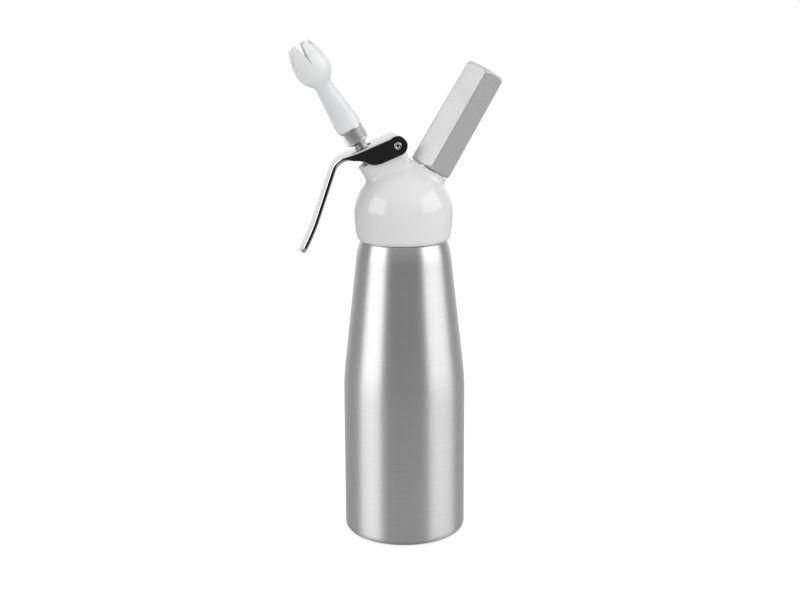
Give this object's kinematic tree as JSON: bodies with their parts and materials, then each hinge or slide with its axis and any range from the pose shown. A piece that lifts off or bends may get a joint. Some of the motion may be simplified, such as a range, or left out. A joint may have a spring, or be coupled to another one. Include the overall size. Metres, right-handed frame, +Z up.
{
  "type": "whipped cream dispenser",
  "caption": "Brushed aluminium bottle with a white screw-on head, a chromed squeeze lever, a lobed cream nozzle and a hexagonal gas charger holder",
  "frame": {"origin": "centre of the foot ring that the bottle stands on", "axes": "+Z up along the bottle, lever and nozzle towards -X, charger holder towards +X, the plane Y = 0 halves the dispenser"},
  "size_m": [0.1379, 0.08, 0.3264],
  "materials": {
    "bottle_metal": "fine brushing round the bottle",
    "head_plastic": "glossy white moulding",
    "nozzle_plastic": "milky, slightly see-through moulding",
    "lever_chrome": "polished plating",
    "adaptor_metal": "knurled and plated",
    "valve_metal": "turned",
    "spring_steel": "bright wire",
    "holder_metal": "bead blasted satin",
    "charger_steel": "bright drawn steel",
    "charger_seal_metal": "plain",
    "seal_rubber": "smooth"
  },
  "bodies": {
    "bottle": {"bottle": "bottle_metal"},
    "seal_carrier": {"head_gasket": "seal_rubber"},
    "head": {"head_shell": "head_plastic", "guide_bushing": "valve_metal", "stem_ring_seal": "seal_rubber", "lever_pin": "lever_chrome", "valve_spring": "spring_steel", "charger_inlet": "valve_metal", "piercing_needle": "spring_steel", "charger_washer": "seal_rubber", "check_retainer": "valve_metal"},
    "check_disc": {"check_disc": "seal_rubber"},
    "lever": {"lever": "lever_chrome"},
    "stem": {"valve_stem": "valve_metal", "seat_seal": "seal_rubber", "stem_collar": "valve_metal", "nozzle_adaptor": "adaptor_metal"},
    "nozzle_seal": {"nozzle_seal": "seal_rubber"},
    "nozzle": {"nozzle": "nozzle_plastic"},
    "charger": {"gas_charger": "charger_steel", "charger_seal": "charger_seal_metal"},
    "holder": {"charger_holder": "holder_metal"}
  },
  "joints": [
    {"name": "head_lift", "type": "slide", "parent": "bottle", "child": "seal_carrier", "axis": [0, 0, 1], "range_m": [0, 0.0121]},
    {"name": "head_turn", "type": "hinge", "parent": "seal_carrier", "child": "head", "pos_m": [0, 0, 0.21], "axis": [0, 0, 1], "range_deg": [0, 1440]},
    {"name": "lever_squeeze", "type": "hinge", "parent": "head", "child": "lever", "pos_m": [-0.00598, 0, 0.25936], "axis": [0, -1, 0], "range_deg": [0, 11], "stiffness_Nm_per_rad": 2, "springref_deg": -8.59},
    {"name": "stem_press", "type": "slide", "parent": "head", "child": "stem", "axis": [0.5225, 0, -0.8526], "range_m": [0, 0.0037], "stiffness_N_per_m": 200, "springref_m": -0.01, "deforming": ["valve_spring"]},
    {"name": "nozzle_lift", "type": "slide", "parent": "stem", "child": "nozzle_seal", "axis": [-0.5225, 0, 0.8526], "range_m": [0, 0.0061]},
    {"name": "nozzle_turn", "type": "hinge", "parent": "nozzle_seal", "child": "nozzle", "pos_m": [-0.03657, 0, 0.27368], "axis": [-0.5225, 0, 0.8526], "range_deg": [0, 1440]},
    {"name": "holder_feed", "type": "slide", "parent": "head", "child": "charger", "axis": [0.515, 0, 0.8572], "range_m": [0, 0.0121]},
    {"name": "holder_turn", "type": "hinge", "parent": "charger", "child": "holder", "pos_m": [0.03605, 0, 0.274], "axis": [0.515, 0, 0.8572], "range_deg": [0, 2160]},
    {"name": "check_lift", "type": "slide", "parent": "head", "child": "check_disc", "axis": [0.515, 0, 0.8572], "range_m": [0, 0.0007]}
  ],
  "couplings": [
    {"joint": "head_lift", "follows": "head_turn", "m_per_rad": 0.00047746},
    {"joint": "stem_press", "follows": "lever_squeeze", "m_per_rad": 0.0186},
    {"joint": "nozzle_lift", "follows": "nozzle_turn", "m_per_rad": 0.00023873},
    {"joint": "holder_feed", "follows": "holder_turn", "m_per_rad": 0.00031831}
  ]
}
